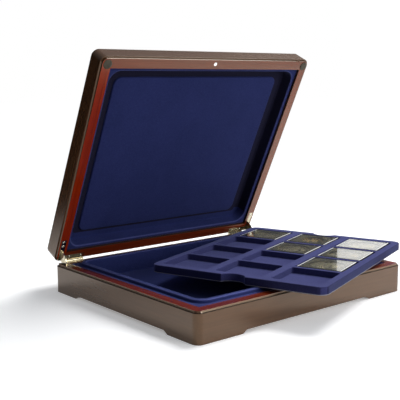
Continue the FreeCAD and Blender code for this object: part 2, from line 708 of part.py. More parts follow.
# Capsule halves are drawn about their middle, with the joint at the top of the lower half
def make_capsule_shapes():
    inner = "capsule_side - 2 * capsule_wall"
    ring = "capsule_side - capsule_wall"
    base = new_body("capsule_base_shape")
    outline = rounded_sketch(base, "capsule_line", "0", "capsule_side", "capsule_side", "capsule_corner")
    pad(base, "capsule_block", outline, "capsule_base_height")
    tongue = rounded_sketch(base, "tongue_line", "capsule_base_height", f"{ring} + tongue_width",
                            f"{ring} + tongue_width", "capsule_corner")
    add_rounded(tongue, "hollow", f"{ring} - tongue_width", f"{ring} - tongue_width",
                "capsule_corner - tongue_width")
    pad(base, "tongue", tongue, "tongue_height")
    hollow = rectangle_sketch(base, "capsule_hollow_line", "capsule_base_height", inner, inner)
    pocket(base, "capsule_hollow", hollow, "capsule_base_height - capsule_floor")
    cover = new_body("capsule_cover_shape")
    lid_line = rounded_sketch(cover, "cover_line", "0", "capsule_side", "capsule_side", "capsule_corner")
    pad(cover, "cover_block", lid_line, "capsule_cover_height")
    groove = rounded_sketch(cover, "cover_groove_line", "0", f"{ring} + tongue_width + 2 * tongue_gap",
                            f"{ring} + tongue_width + 2 * tongue_gap", "capsule_corner + tongue_gap")
    add_rounded(groove, "hollow", f"{ring} - tongue_width - 2 * tongue_gap",
                f"{ring} - tongue_width - 2 * tongue_gap", "capsule_corner - tongue_width - tongue_gap")
    pocket(cover, "cover_groove", groove, "tongue_height + tongue_gap", upward=True)
    room = rectangle_sketch(cover, "cover_hollow_line", "0", inner, inner)
    pocket(cover, "cover_hollow", room, "capsule_cover_height - capsule_floor", upward=True)
    return base, cover


# Square insert with a round hole that fits its coin
def make_insert_shape(coin):
    body = new_body(f"insert_shape_{coin}")
    side = "capsule_side - 2 * capsule_wall - 2 * insert_gap"
    outline = rounded_sketch(body, f"insert_line_{coin}", "0", side, side, "insert_corner")
    centre = outline.addGeometry(Part.Circle(FreeCAD.Vector(), Z_AXIS, START_HALF / 2))
    outline.addConstraint(Sketcher.Constraint("Coincident", centre, 3, -1, 1))
    constrain(outline, "hole", f"{coin} / 2 + coin_gap", "Radius", centre, START_HALF / 2)
    pad(body, f"insert_block_{coin}", outline, "insert_height")
    return body


# Coin with a raised rim on both faces and a plain ring of petals on the upper one
def make_coin_shape(coin):
    radius = f"{coin} / 2"
    field = cylinder(f"field_{coin}", "0", "0", "coin_relief", radius, "coin_thickness - 2 * coin_relief")
    outer = cylinder(f"rim_{coin}", "0", "0", "0", radius, "coin_thickness")
    inner = cylinder(f"rim_hollow_{coin}", "0", "0", "0", f"{radius} - coin_rim", "coin_thickness")
    rim = cut(f"rim_ring_{coin}", outer, inner)
    orbit = f"({radius} - coin_rim) * petal_share"
    petals = []
    for number in range(PETALS):
        turn = f"{number} * {360 // PETALS}"
        petals.append(cylinder(f"petal_{coin}_{number}", f"{orbit} * cos({turn})", f"{orbit} * sin({turn})",
                               "coin_relief", f"{orbit} * sin({180 / PETALS}) * petal_share",
                               "coin_thickness - coin_relief"))
    heart = cylinder(f"heart_{coin}", "0", "0", "coin_relief", f"{orbit} * (1 - petal_share)",
                     "coin_thickness - coin_relief")
    return fuse(f"coin_shape_{coin}", [field, rim, heart] + petals)


def make_capsules():
    base, cover = make_capsule_shapes()
    inserts = {}
    coins = {}
    for coin in ("coin_diameter", "small_coin_diameter"):
        inserts[coin] = make_insert_shape(coin)
        coins[coin] = make_coin_shape(coin)
    for name, column, row, coin in CAPSULES:
        u = f"{column - (COLUMNS - 1) / 2} * column_pitch"
        v = f"{row - (ROWS - 1) / 2} * row_pitch"
        inside = "capsule_base + capsule_floor + capsule_gap"
        parts = {
            f"capsule_{name}_base": (base, "capsule_base"),
            f"capsule_{name}_insert": (inserts[coin], inside),
            f"coin_{name}": (coins[coin], inside),
            f"capsule_{name}_cover": (cover, "capsule_base + capsule_base_height + capsule_gap"),
        }
        for label, (shape, z) in parts.items():
            on_tray(piece(group(label, [shape]), label), u, v, z)


def export_pieces():
    doc.recompute()
    for item in doc.Objects:
        if "Invalid" in item.State or "Error" in item.State:
            raise RuntimeError(f"{item.Name} did not rebuild: {item.State}")
    os.makedirs("parts", exist_ok=True)
    for item in nodes:
        shape = item.Shape
        if shape.isNull() or not shape.isValid() or not shape.Solids:
            raise RuntimeError(f"{item.Label} is not a valid solid")
        shape.exportStep(f"parts/{item.Label}.step")
        bounds = shape.BoundBox
        print(item.Label, len(shape.Solids), round(shape.Volume / 1000, 2),
              [round(value, 1) for value in (bounds.XMin, bounds.XMax, bounds.YMin, bounds.YMax,
                                             bounds.ZMin, bounds.ZMax)])


frame_tools = make_hinges()
base_magnet, lid_disc = make_bumpers_and_magnets()
make_base_frame(frame_tools["base"] + [base_magnet])
make_lid_frame(frame_tools["lid"] + [lid_disc])
make_panels()
make_base_lining()
make_lid_lining()
make_quadrant()
make_tray()
make_capsules()
export_pieces()
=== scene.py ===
import json
import math
import random
import bmesh
import bpy
from mathutils import Matrix, Vector


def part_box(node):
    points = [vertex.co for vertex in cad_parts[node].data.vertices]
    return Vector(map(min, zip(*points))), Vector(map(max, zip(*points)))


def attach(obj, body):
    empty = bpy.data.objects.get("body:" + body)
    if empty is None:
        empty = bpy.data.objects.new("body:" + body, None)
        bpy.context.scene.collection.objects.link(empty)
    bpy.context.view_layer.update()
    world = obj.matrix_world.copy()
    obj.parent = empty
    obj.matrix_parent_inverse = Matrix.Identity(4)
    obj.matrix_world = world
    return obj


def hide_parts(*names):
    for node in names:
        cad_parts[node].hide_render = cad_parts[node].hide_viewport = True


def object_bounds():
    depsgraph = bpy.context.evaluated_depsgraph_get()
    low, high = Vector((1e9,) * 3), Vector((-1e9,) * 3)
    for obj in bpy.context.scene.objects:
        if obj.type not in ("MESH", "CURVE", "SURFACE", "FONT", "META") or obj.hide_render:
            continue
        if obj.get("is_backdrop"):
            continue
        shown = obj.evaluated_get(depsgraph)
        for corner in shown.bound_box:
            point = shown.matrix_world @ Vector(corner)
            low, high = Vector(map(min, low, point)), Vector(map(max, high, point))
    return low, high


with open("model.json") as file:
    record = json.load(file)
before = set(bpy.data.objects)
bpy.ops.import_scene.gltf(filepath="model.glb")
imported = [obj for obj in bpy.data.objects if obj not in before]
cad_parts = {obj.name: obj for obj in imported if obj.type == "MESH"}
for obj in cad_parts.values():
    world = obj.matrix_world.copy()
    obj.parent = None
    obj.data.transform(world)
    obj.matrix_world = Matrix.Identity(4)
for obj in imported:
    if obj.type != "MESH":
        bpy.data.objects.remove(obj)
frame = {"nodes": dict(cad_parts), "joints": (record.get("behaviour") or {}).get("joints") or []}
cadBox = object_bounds()
cadNodes = frame["nodes"]
mm = 0.001
print("frame loaded:", len(cadNodes), "nodes")

# The lid is drawn shut and swung back by the hinge, as on the real case
lidHinge = [joint for joint in frame["joints"] if joint["name"] == "lid_hinge"][0]
pinPlace = Vector(lidHinge["pos_m"])
openAngle = math.radians(lidHinge["range_deg"][1])
lidSwing = (Matrix.Translation(pinPlace) @ Matrix.Rotation(-openAngle, 4, "X")
            @ Matrix.Translation(-pinPlace))

# Sizes of the case that the pieces share, read from the frame
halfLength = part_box("base_right_board")[1].x
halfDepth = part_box("base_back_board")[1].y
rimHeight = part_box("base_back_board")[1].z
lidRim = 2 * pinPlace.z - rimHeight
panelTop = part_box("base_bottom_panel")[1].z
trayLow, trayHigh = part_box("tray_shell")

# The tray lies turned across the mouth: this is the run of its short side
trayTurn = math.radians(-70)
trayAcross = Vector((math.cos(trayTurn), math.sin(trayTurn), 0))


# Node helpers: a value is a node with the name or number of its output, or a plain number

def setInputs(node, values):
    for name, value in values.items():
        node.inputs[name].default_value = value
    return node


def addNode(tree, kind, values=None, **settings):
    node = tree.nodes.new(kind)
    for name, value in settings.items():
        setattr(node, name, value)
    return setInputs(node, values or {})


# Each wire names a node and its output, then a node and its input
def connect(tree, *wires):
    for giver, output, taker, entry in wires:
        tree.links.new(giver.outputs[output], taker.inputs[entry])


def compute(tree, operation, *values):
    node = addNode(tree, "ShaderNodeMath", operation=operation)
    for index, value in enumerate(values):
        if isinstance(value, tuple):
            connect(tree, (*value, node, index))
        else:
            node.inputs[index].default_value = value
    return node, 0


def remap(tree, value, span, target=(0, 1), **settings):
    limits = {"From Min": span[0], "From Max": span[1], "To Min": target[0], "To Max": target[1]}
    node = addNode(tree, "ShaderNodeMapRange", limits, **settings)
    connect(tree, (*value, node, "Value"))
    return node, "Result"


def blend(tree, share, first, second):
    node = addNode(tree, "ShaderNodeMix", data_type="FLOAT")
    connect(tree, (*share, node, 0), (*first, node, 2), (*second, node, 3))
    return node, 0


def addNoise(tree, place, scale, **values):
    node = addNode(tree, "ShaderNodeTexNoise", values)
    connect(tree, (*place, node, "Vector"), (*scale, node, "Scale"))
    return node, "Fac"


def newTree(kind, name, inputs, outputs):
    tree = bpy.data.node_groups.new(name, kind)
    for side, sockets in (("INPUT", inputs), ("OUTPUT", outputs)):
        for label, sort, *start in sockets:
            socket = tree.interface.new_socket(label, in_out=side, socket_type="NodeSocket" + sort)
            if start:
                socket.default_value = start[0]
    return tree, tree.nodes.new("NodeGroupInput"), tree.nodes.new("NodeGroupOutput")


# Lays two colours of a group by a value, whose middle span is drawn out to 0 and 1
def tintBy(tree, source, result, value, span, first, second):
    spread = remap(tree, value, span)
    tint = addNode(tree, "ShaderNodeMix", data_type="RGBA")
    connect(tree, (*spread, tint, 0), (source, first, tint, 6), (source, second, tint, 7),
            (tint, 2, result, "Color"))
    return spread


# Short upright fibres: fine speckle, and broad patches where the nap is brushed
def makeNapGroup():
    tree, source, result = newTree("ShaderNodeTree", "flockNap", [
        ("Place", "Vector"), ("Shade", "Color", (0.01, 0.01, 0.05, 1)),
        ("Lit", "Color", (0.03, 0.03, 0.1, 1)), ("Fibre Scale", "Float", 1800),
        ("Patch Scale", "Float", 26), ("Patch Share", "Float", 0.45)],
        [("Color", "Color"), ("Height", "Float")])
    place = (source, "Place")
    fibre = addNoise(tree, place, (source, "Fibre Scale"), Detail=3, Roughness=0.7)
    patch = addNoise(tree, place, (source, "Patch Scale"), Detail=3, Roughness=0.55, Distortion=0.6)
    nap = blend(tree, (source, "Patch Share"), fibre, patch)
    tintBy(tree, source, result, nap, (0.3, 0.7), "Shade", "Lit")
    connect(tree, (*fibre, result, "Height"))
    return tree


# Straight grain along local X, with pores and slow colour drift
def makeGrainGroup():
    tree, source, result = newTree("ShaderNodeTree", "woodGrain", [
        ("Place", "Vector"), ("Dark", "Color", (0.02, 0.01, 0.01, 1)),
        ("Light", "Color", (0.1, 0.05, 0.03, 1)), ("Grain Scale", "Float", 90),
        ("Grain Stretch", "Float", 0.04), ("Pore Fineness", "Float", 9.0), ("Pore Share", "Float", 0.4)],
        [("Color", "Color"), ("Height", "Float")])
    stretch = addNode(tree, "ShaderNodeCombineXYZ", {"Y": 1.0, "Z": 1.0})
    scaled = addNode(tree, "ShaderNodeVectorMath", operation="MULTIPLY")
    connect(tree, (source, "Grain Stretch", stretch, "X"), (source, "Place", scaled, 0),
            (stretch, 0, scaled, 1))
    place, scale = (scaled, 0), (source, "Grain Scale")
    grain = addNoise(tree, place, scale, Detail=5, Roughness=0.6, Distortion=0.35)
    pores = addNoise(tree, place, compute(tree, "MULTIPLY", scale, (source, "Pore Fineness")),
                     Detail=2, Roughness=0.5)
    figure = blend(tree, (source, "Pore Share"), grain, pores)
    tintBy(tree, source, result, figure, (0.32, 0.68), "Dark", "Light")
    connect(tree, (*figure, result, "Height"))
    return tree


# Faint handling marks: a soft cloudiness that lifts roughness and tints the colour
def makeHandlingGroup():
    tree, source, result = newTree("ShaderNodeTree", "handling", [
        ("Place", "Vector"), ("Clean", "Color", (0.5, 0.5, 0.5, 1)),
        ("Dulled", "Color", (0.4, 0.4, 0.4, 1)), ("Scale", "Float", 60), ("Smooth", "Float", 0.1),
        ("Rough", "Float", 0.3)],
        [("Color", "Color"), ("Roughness", "Float"), ("Height", "Float")])
    cloud = addNoise(tree, (source, "Place"), (source, "Scale"),
                     Detail=6, Roughness=0.65, Distortion=0.4)
    spread = tintBy(tree, source, result, cloud, (0.35, 0.7), "Clean", "Dulled")
    dull = blend(tree, spread, (source, "Smooth"), (source, "Rough"))
    connect(tree, (*dull, result, "Roughness"), (*cloud, result, "Height"))
    return tree


napGroup = makeNapGroup()
grainGroup = makeGrainGroup()
handlingGroup = makeHandlingGroup()


# Materials, kept by name in one place

paint = {}


def openMaterial(name):
    material = bpy.data.materials.new(name)
    material.use_nodes = True
    return material, material.node_tree, material.node_tree.nodes["Principled BSDF"]


def newMaterial(name, group, groupValues, shaderValues, bump=None, turn=(0, 0, 0)):
    material, tree, shader = openMaterial(name)
    setInputs(shader, shaderValues)
    place = addNode(tree, "ShaderNodeTexCoord")
    mapping = addNode(tree, "ShaderNodeMapping", {"Rotation": turn})
    pattern = addNode(tree, "ShaderNodeGroup", groupValues, node_tree=group)
    connect(tree, (place, "Object", mapping, "Vector"), (mapping, 0, pattern, "Place"),
            (pattern, "Color", shader, "Base Color"))
    if "Roughness" in pattern.outputs:
        connect(tree, (pattern, "Roughness", shader, "Roughness"))
    if bump:
        relief = addNode(tree, "ShaderNodeBump", {"Strength": bump[0], "Distance": bump[1]})
        connect(tree, (pattern, "Height", relief, "Height"), (relief, 0, shader, "Normal"))
    paint[name] = material


flock = {
    "tones": {
        "liningFlock": ((0.0150, 0.0215, 0.092, 1), (0.0290, 0.0390, 0.155, 1)),
        # A darker flock painted as shade in the lid's trough round the pad
        "troughShadeFlock": ((0.0095, 0.0085, 0.022, 1), (0.0170, 0.0155, 0.038, 1)),
        # A paler flock painted as a highlight on the rounded lining edges
        "edgeHighlightFlock": ((0.0500, 0.0600, 0.190, 1), (0.0900, 0.1050, 0.300, 1)),
        "trayFlock": ((0.0280, 0.0290, 0.098, 1), (0.0490, 0.0510, 0.160, 1)),
        # A darker flock painted as shade on the tray's outer sides
        "sideShadeFlock": ((0.0130, 0.0130, 0.048, 1), (0.0230, 0.0230, 0.080, 1)),
    },
    "nap": {"Fibre Scale": 620, "Patch Share": 0.28},
    "shader": {"Roughness": 0.95, "Specular IOR Level": 0.12, "Sheen Weight": 0.22,
               "Sheen Roughness": 0.45, "Sheen Tint": (0.42, 0.5, 1.0, 1)},
    "bump": (0.35, 0.25 * mm),
}

for name, (shade, lit) in flock["tones"].items():
    newMaterial(name, napGroup, {"Shade": shade, "Lit": lit, **flock["nap"]}, flock["shader"],
                flock["bump"])

alongX = (0, 0, 0)
alongY = (0, 0, math.radians(90))
alongLid = (openAngle, 0, math.radians(90))

# Finishes: tone, run of the grain, coat, roughness, shine
lacquer = {
    "tones": {
        "brown": ((0.060, 0.0255, 0.0110, 1), (0.090, 0.0380, 0.0160, 1)),
        "rim": ((0.105, 0.0110, 0.0030, 1), (0.220, 0.0300, 0.0070, 1)),
        "red": ((0.190, 0.0120, 0.0010, 1), (0.380, 0.0300, 0.0020, 1)),
        # A pale tone painted as a highlight on the base step, and a near black one painted as shadow on
        # its ledge
        "thin": ((0.240, 0.165, 0.110, 1), (0.300, 0.210, 0.145, 1)),
        "groove": ((0.014, 0.008, 0.005, 1), (0.022, 0.012, 0.008, 1)),
        "raw": ((0.060, 0.036, 0.022, 1), (0.150, 0.096, 0.060, 1)),
    },
    "finishes": {
        "lacquerAcross": ("brown", alongX, 0.12, 0.2, 0.8),
        "lacquerDeep": ("brown", alongY, 0.12, 0.2, 0.8),
        "lacquerLid": ("brown", alongLid, 0.12, 0.2, 0.8),
        "rimAcross": ("rim", alongX, 0.12, 0.2, 0.8),
        "rimDeep": ("rim", alongY, 0.12, 0.2, 0.8),
        "rimLid": ("rim", alongLid, 0.12, 0.2, 0.8),
        "rimLidRed": ("red", alongLid, 0.12, 0.2, 0.8),
        "rimCalm": ("rim", alongY, 0, 0.3, 0.2),
        "stepHighlight": ("thin", alongX, 0.12, 0.2, 0.8),
        "stepGrooveShade": ("groove", alongX, 0, 0.7, 0.1),
        "bottomBoard": ("raw", alongX, 0.2, 0.6, 0.8),
    },
    "shader": {"Coat Roughness": 0.07, "Coat IOR": 1.5, "Specular Tint": (1.0, 0.74, 0.52, 1)},
    "bump": (0.02, 0.1 * mm),
}

for name, (tone, turn, coat, rough, shine) in lacquer["finishes"].items():
    dark, light = lacquer["tones"][tone]
    finish = {"Coat Weight": coat, "Roughness": rough, "Specular IOR Level": shine}
    newMaterial(name, grainGroup, {"Dark": dark, "Light": light}, {**lacquer["shader"], **finish},
                lacquer["bump"], turn)

# Clean and dulled colour, smooth and rough end, scale of the marks, bump, other shader values
metal = {"Metallic": 1.0}
handled = {
    "hingeMetal": ((0.70, 0.64, 0.48, 1), (0.24, 0.20, 0.13, 1), 0.10, 0.28, 650,
                   (0.5, 0.08 * mm), metal),
    "screwMetal": ((0.86, 0.83, 0.74, 1), (0.58, 0.53, 0.42, 1), 0.14, 0.32, 400, None, metal),
    "catchMetal": ((0.90, 0.89, 0.86, 1), (0.70, 0.69, 0.66, 1), 0.10, 0.25, 300, None, metal),
    "bumperRubber": ((0.070, 0.058, 0.030, 1), (0.045, 0.037, 0.022, 1), 0.45, 0.70, 300,
                     (0.15, 0.05 * mm), {}),
    "silverCoin": ((0.52, 0.44, 0.22, 1), (0.27, 0.23, 0.11, 1), 0.22, 0.45, 160,
                   (0.15, 0.05 * mm), metal),
    "goldCoin": ((0.70, 0.48, 0.11, 1), (0.46, 0.30, 0.06, 1), 0.18, 0.38, 160,
                 (0.12, 0.05 * mm), metal),
    "insertFoam": ((0.150, 0.120, 0.036, 1), (0.100, 0.080, 0.024, 1), 0.75, 0.95, 900,
                   (0.3, 0.08 * mm), {}),
    # A pale diffuse strip painted as a highlight on the cover edges
    "glintEdge": ((0.86, 0.86, 0.84, 1), (0.74, 0.74, 0.73, 1), 0.25, 0.45, 300, None, {}),
    "rawEdge": ((0.21, 0.20, 0.24, 1), (0.12, 0.12, 0.16, 1), 0.5, 0.8, 500, None, {}),
    "clearPlastic": ((0.97, 0.98, 0.98, 1), (0.94, 0.95, 0.95, 1), 0.015, 0.06, 120, None,
                     {"Transmission Weight": 1.0, "IOR": 1.49}),
}

for name, (clean, dulled, smooth, rough, scale, bump, shaderValues) in handled.items():
    marks = {"Clean": clean, "Dulled": dulled, "Smooth": smooth, "Rough": rough, "Scale": scale}
    newMaterial(name, handlingGroup, marks, shaderValues, bump)
print("materials ready")


# Mesh helpers

def addObject(name, data):
    made = bpy.data.objects.new(name, data)
    bpy.context.scene.collection.objects.link(made)
    return made


# Above these angles between two faces their edge stays sharp
sharpAbove = {"built": 40, "grown": 35}


def finishMesh(mesh, name, materials, sharp=sharpAbove["built"]):
    for material in materials:
        mesh.materials.append(paint[material])
    piece = addObject(name, mesh)
    mesh.shade_smooth()
    mesh.set_sharp_from_angle(angle=math.radians(sharp))
    return piece


def meshOf(work, name):
    mesh = bpy.data.meshes.new(name)
    work.to_mesh(mesh)
    work.free()
    return mesh


def settle(piece, body, slot, *replaced):
    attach(piece, body)
    if replaced:
        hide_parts(*replaced)
    return piece


def weightNormals(piece):
    modifier = piece.modifiers.new("weighted", "WEIGHTED_NORMAL")
    modifier.keep_sharp = True
    evaluated = piece.evaluated_get(bpy.context.evaluated_depsgraph_get())
    finished = bpy.data.meshes.new_from_object(evaluated)
    piece.modifiers.remove(modifier)
    piece.data = finished
    return piece


def anyEdge(edge):
    return True


copying = {
    "merge": 0.002 * mm,
    "flatAngle": 0.6,
    "arrisAbove": 32,
    "cutReach": 0.001 * mm,
}


# Copies a frame piece and breaks its arrises: each cut has a width and a test that picks its edges
def easedCopy(nodeName, pieceName, cuts, materials, segments=2, limit=copying["arrisAbove"],
              finish=None):
    work = bmesh.new()
    work.from_mesh(cadNodes[nodeName].data)
    bmesh.ops.remove_doubles(work, verts=work.verts, dist=copying["merge"])
    bmesh.ops.dissolve_limit(work, angle_limit=math.radians(copying["flatAngle"]), verts=work.verts,
                             edges=work.edges)
    for width, picks in cuts:
        work.normal_update()
        arrises = [edge for edge in work.edges
                   if len(edge.link_faces) == 2 and edge.calc_face_angle(0) > math.radians(limit)
                   and picks(edge)]
        bmesh.ops.bevel(work, geom=arrises, offset=width, offset_type="OFFSET", segments=segments,
                        profile=0.5, affect="EDGES", clamp_overlap=True, miter_outer="ARC")
    if finish:
        finish(work)
    return weightNormals(finishMesh(meshOf(work, pieceName), pieceName, materials))


def cutThrough(work, place, normal):
    bmesh.ops.bisect_plane(work, geom=work.verts[:] + work.edges[:] + work.faces[:],
                           dist=copying["cutReach"], plane_co=place, plane_no=normal)


# Faces between rings of vertices that follow one another, where a ring may be a single point
def bridge(work, loops):
    steps = max(len(loop) for loop in loops)
    for lower, upper in zip(loops, loops[1:]):
        for step in range(steps):
            after = (step + 1) % steps
            corners = [lower[step % len(lower)], lower[after % len(lower)],
                       upper[after % len(upper)], upper[step % len(upper)]]
            work.faces.new(list(dict.fromkeys(corners)))


def closeMesh(work, name, materials, transform):
    bmesh.ops.recalc_face_normals(work, faces=work.faces)
    work.transform(transform)
    return finishMesh(meshOf(work, name), name, materials)


# Turned piece: a profile of radius and height, closed on its axis
def lathe(name, profile, steps, materials, transform):
    work = bmesh.new()
    loops = []
    for radius, height in profile:
        if radius == 0:
            loops.append([work.verts.new((0, 0, height))])
            continue
        loops.append([work.verts.new((radius * math.cos(math.tau * step / steps),
                                      radius * math.sin(math.tau * step / steps), height))
                      for step in range(steps)])
    bridge(work, loops)
    return closeMesh(work, name, materials, transform)


# Rings of a rounded rectangle, joined from the first to the last and closed at both ends
def loftRings(name, rings, arcSteps, materials, transform):
    work = bmesh.new()
    loops = []
    for inset, height, radius in rings:
        loop = []
        for quarter in range(4):
            signX = 1 if quarter in (0, 3) else -1
            signY = 1 if quarter < 2 else -1
            middle = Vector((signX * (halfLength - inset - radius),
                             signY * (halfDepth - inset - radius), height))
            for step in range(arcSteps + 1):
                angle = math.radians(90) * (quarter + step / arcSteps)
                outward = Vector((math.cos(angle), math.sin(angle), 0))
                loop.append(work.verts.new(middle + outward * radius))
        loops.append(loop)
    bridge(work, loops)
    work.faces.new(loops[0])
    work.faces.new(loops[-1])
    return closeMesh(work, name, materials, transform)


# A round of a ring profile: insets and heights, each ring with the corner radius that suits its inset
def roundOf(middleInset, middleHeight, radius, start, end, steps, corner):
    for step in range(steps + 1):
        angle = math.radians(start + (end - start) * step / steps)
        inset = middleInset - radius * math.cos(angle)
        yield inset, middleHeight + radius * math.sin(angle), corner(inset)


# Boards: lacquered outside, redder on the rim, arrises eased so that they catch a line of light

board = {
    "arris": 0.7 * mm,
    "innerArris": 0.5 * mm,
    "mitreShare": 0.02,
    "step": 2.3 * mm,
    "rimShare": 0.75,
    "rimReach": 1.2 * mm,
    "stepDrop": 2.0 * mm,
    "stepReach": 0.75 * mm,
    "ledgeShare": 0.3,
    "boards": {
        "front": {"base": ["lacquerAcross", "rimAcross"], "lid": ["lacquerAcross", "rimAcross"]},
        "back": {"base": ["lacquerAcross", "rimAcross"], "lid": ["lacquerAcross", "rimAcross"]},
        "left": {"base": ["lacquerDeep", "rimDeep"], "lid": ["lacquerLid", "rimLidRed"]},
        "right": {"base": ["lacquerDeep", "rimCalm"], "lid": ["lacquerLid", "rimLid"]},
    },
}


def isMitre(edge):
    diagonal = math.sqrt(0.5)
    return any(abs(abs(face.normal.x) - diagonal) < board["mitreShare"] for face in edge.link_faces)


def isOuter(place):
    return abs(place.x) > halfLength - board["step"] or abs(place.y) > halfDepth - board["step"]


def paintRim(piece, shut, facing, level):
    for face in piece.data.polygons:
        flat = (shut.to_3x3() @ face.normal).z * facing > board["rimShare"]
        if flat and abs((shut @ face.center).z - level) < board["rimReach"]:
            face.material_index = 1


# On the base the step's riser takes a pale painted highlight and its ledge a near black painted shadow
def paintStep(piece):
    ledge = rimHeight - board["stepDrop"]
    for face in piece.data.polygons:
        height = face.center.z
        if not isOuter(face.center) or face.material_index or height < ledge - board["stepReach"]:
            continue
        if height < ledge + board["stepReach"] / 2 and face.normal.z > board["ledgeShare"]:
            face.material_index = 3
        elif height > ledge:
            face.material_index = 2


def makeBoard(half, side, materials):
    onLid = half == "lid"
    shut, facing, level = (lidSwing.inverted(), -1, lidRim) if onLid else (Matrix(), 1, rimHeight)

    def isOutside(edge):
        middle = shut @ ((edge.verts[0].co + edge.verts[1].co) / 2)
        return isOuter(middle) and edge.is_convex and not isMitre(edge)

    def isInside(edge):
        return edge.is_convex and not isMitre(edge)

    node = f"{half}_{side}_board"
    cuts = [(board["arris"], isOutside), (board["innerArris"], isInside)]
    materials = materials if onLid else materials + ["stepHighlight", "stepGrooveShade"]
    piece = easedCopy(node, f"{half}{side.capitalize()}Board", cuts, materials)
    paintRim(piece, shut, facing, level)
    if not onLid:
        paintStep(piece)
    settle(piece, half, "lacquered_wood", node)


for side, halves in board["boards"].items():
    for half, materials in halves.items():
        makeBoard(half, side, materials)
print("boards ready")

# Base lining: flange level with the rim, a rounded lip, and a well with a soft foot

baseLining = {
    "flangeInset": 13.2 * mm,
    "flangeSink": 0.4 * mm,
    "flangeChamfer": 0.4 * mm,
    "outerCorner": 0.6 * mm,
    "lipInset": 18.0 * mm,
    "lipWidth": 6.5 * mm,
    "lipRise": 3.6 * mm,
    "lipCorner": 16.0 * mm,
    "lipFoot": 0.8 * mm,
    "floorLift": 1.2 * mm,
    "floorRing": 6.0 * mm,
    "footRadius": 1.6 * mm,
    "draft": 0.6 * mm,
    "paleDrop": 1.0 * mm,
    "paleShare": 0.93,
    "roundSteps": (4, 14, 5),
    "arcSteps": 14,
}


def makeBaseLining():
    size = baseLining
    flange, chamfer, outer = size["flangeInset"], size["flangeChamfer"], size["outerCorner"]
    flangeTop = rimHeight - size["flangeSink"]
    crest = rimHeight + size["lipRise"]
    corner = lambda inset: size["lipCorner"] + size["lipInset"] - inset
    footSteps, lipSteps, wellSteps = size["roundSteps"]
    rings = [(flange, panelTop, outer), (flange, flangeTop - chamfer, outer),
             (flange + chamfer, flangeTop, outer)]
    foot, half, well = size["lipFoot"], size["lipWidth"] / 2, size["footRadius"]
    rings += roundOf(size["lipInset"] - foot, flangeTop + foot, foot, -90, -180, footSteps, corner)
    rings += roundOf(size["lipInset"] + half, crest - half, half, 0, 180, lipSteps, corner)
    floor = panelTop + size["floorLift"]
    wall = size["lipInset"] + size["lipWidth"] + size["draft"]
    rings += roundOf(wall + well, floor + well, well, 0, -90, wellSteps, corner)
    rings.append((wall + size["floorRing"], floor, corner(wall + size["floorRing"])))
    piece = loftRings("baseLining", rings, size["arcSteps"], ["liningFlock", "edgeHighlightFlock"], Matrix())
    # Faces near the crest of the lip take the paler flock: a painted highlight
    for face in piece.data.polygons:
        if face.center.z > crest - size["paleDrop"] and face.normal.z < size["paleShare"]:
            face.material_index = 1
    settle(piece, "base", "lining_flock", "base_lining")


# Lid lining: sunk flange, rounded edge, steep walls, and a floor for the pad. The rounded edge takes a
# paler flock as a painted highlight, and the trough round the pad, except near the hinge, a darker flock
# as painted shade

lidLining = {
    "flangeInset": 13.2 * mm,
    "flangeSink": 3.0 * mm,
    "flangeChamfer": 0.4 * mm,
    "outerCorner": 0.6 * mm,
    "edgeInset": 17.2 * mm,
    "edgeRound": 1.5 * mm,
    "edgeCorner": 14.0 * mm,
    "edgeShare": 0.45,
    "depth": 16.6 * mm,
    "backDepth": 17.6 * mm,
    "footRadius": 1.8 * mm,
    "floorRing": 8.0 * mm,
    "floorShare": 0.9,
    "draft": 1.2 * mm,
    "hingeSide": 34.0 * mm,
    "roundSteps": (6, 5),
    "arcSteps": 14,
}


def makeLidLining():
    size = lidLining
    inset, chamfer, outer = size["flangeInset"], size["flangeChamfer"], size["outerCorner"]
    corner = lambda inset: size["edgeCorner"] + size["edgeInset"] - inset
    edgeSteps, footSteps = size["roundSteps"]
    flange = lidRim + size["flangeSink"]
    floor = lidRim + size["depth"]
    rings = [(inset, lidRim + size["backDepth"], outer), (inset, flange + chamfer, outer),
             (inset + chamfer, flange, outer)]
    edge, foot = size["edgeRound"], size["footRadius"]
    rings += roundOf(size["edgeInset"] - edge, flange + edge, edge, -90, -180, edgeSteps, corner)
    wall = size["edgeInset"] + size["draft"]
    rings += roundOf(wall + foot, floor - foot, foot, 0, 90, footSteps, corner)
    rings.append((wall + size["floorRing"], floor, corner(wall + size["floorRing"])))
    materials = ["liningFlock", "troughShadeFlock", "edgeHighlightFlock"]
    piece = loftRings("lidLining", rings, size["arcSteps"], materials, lidSwing)
    shut = lidSwing.inverted()
    edgeRun = halfLength - size["edgeInset"]
    for face in piece.data.polygons:
        middle = shut @ face.center
        # Faces on the rounded edge take the paler flock: a painted highlight
        onEdge = abs(middle.z - flange - edge / 2) < edge * size["edgeShare"]
        if onEdge and abs(middle.x) < edgeRun + edge:
            face.material_index = 2
        # Recess walls and floor away from the hinge take the darker flock: painted shade in the trough
        inRecess = flange + edge < middle.z and (shut.to_3x3() @ face.normal).z < size["floorShare"]
        inTrough = middle.y < halfDepth - size["hingeSide"] and abs(middle.x) < edgeRun
        if inRecess and inTrough:
            face.material_index = 1
    settle(piece, "lid", "lining_flock", "lid_lining")


# Lid pad: a thin foam board under flock, with a slight crown

lidPad = {
    "insetX": 33.0 * mm,
    "insetY": 30.0 * mm,
    "corner": 9.0 * mm,
    "thickness": 2.6 * mm,
    "edgeRound": 1.3 * mm,
    "edgeSteps": 6,
    "crown": 0.35 * mm,
    "crownReach": 40 * mm,
    "crownShares": (0.25, 0.5, 0.75, 1.0),
    "arcSteps": 12,
    "fill": 0.9,
}


